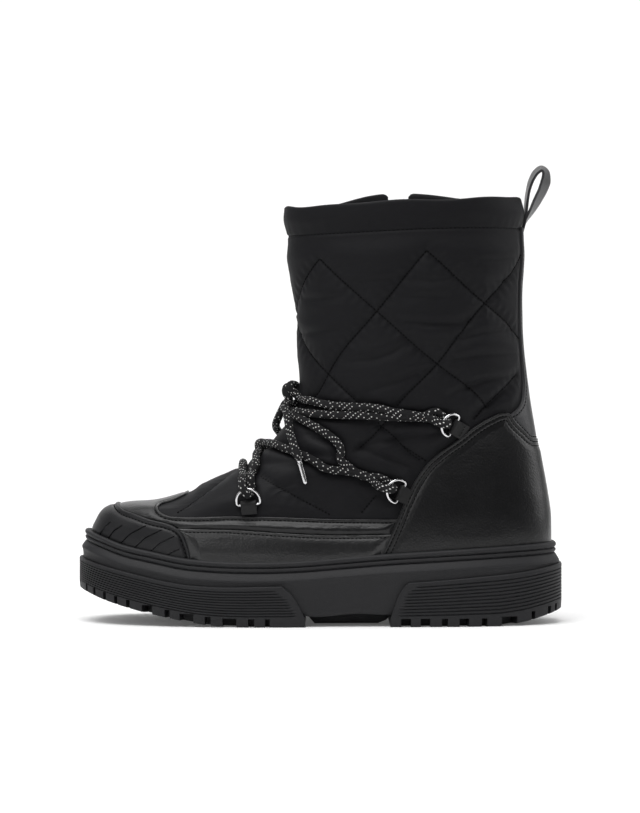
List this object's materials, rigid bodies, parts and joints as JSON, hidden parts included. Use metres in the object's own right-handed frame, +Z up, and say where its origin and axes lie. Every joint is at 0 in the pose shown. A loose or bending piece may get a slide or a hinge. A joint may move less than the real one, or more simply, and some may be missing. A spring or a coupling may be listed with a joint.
{
  "type": "winter boot",
  "caption": "Mid-height black winter boot with a quilted shaft, leather bands, rubber toe guard, D-ring lacing, inside zip, pull loop and lugged sole.",
  "frame": {"origin": "on the floor under the middle of the sole's length and width", "axes": "+X towards the toe, +Y towards the outer side of this left boot, +Z up"},
  "size_m": [0.29, 0.1066, 0.2734],
  "materials": {
    "nylon": "padded nylon with a slight sheen",
    "leather": "semi-gloss grained leather",
    "strip_leather": "soft leather with a grey sheen",
    "rubber": "matte moulded rubber",
    "foam": "matte moulded midsole",
    "lining": "brushed lining",
    "lace": "braided, black with pale flecks",
    "silver_metal": "bright plated wire",
    "dark_metal": "dark coated zip metal",
    "webbing": "woven black tape"
  },
  "bodies": {
    "boot": {"midsole": "foam", "outsole_forefoot": "rubber", "outsole_heel": "rubber", "insole": "lining", "upper": "nylon", "toe_guard": "rubber", "rand_lower_lateral": "leather", "rand_lower_medial": "leather", "vamp_band": "leather", "heel_counter": "leather", "back_strip": "strip_leather", "pull_loop": "strip_leather", "zip_tape": "webbing", "zip_chain": "dark_metal", "zip_slider": "dark_metal", "d_ring_lateral_1": "silver_metal", "d_ring_lateral_2": "silver_metal", "d_ring_lateral_3": "silver_metal", "d_ring_medial_1": "silver_metal", "d_ring_medial_2": "silver_metal", "d_ring_medial_3": "silver_metal", "ring_tab_lateral_1": "webbing", "ring_tab_lateral_2": "webbing", "ring_tab_lateral_3": "webbing", "ring_tab_medial_1": "webbing", "ring_tab_medial_2": "webbing", "ring_tab_medial_3": "webbing", "lace_crossings": "lace", "lace_knot": "lace", "lace_end_lateral": "lace", "lace_end_front": "lace", "aglet_lateral": "silver_metal", "aglet_front": "silver_metal"},
    "zip_pull": {"zip_pull_tab": "dark_metal"}
  },
  "joints": [
    {"name": "zip_pull_hinge", "type": "hinge", "parent": "boot", "child": "zip_pull", "pos_m": [-0.04799, -0.05103, 0.23729], "axis": [-1, 0, 0], "range_deg": [0, 150]}
  ]
}
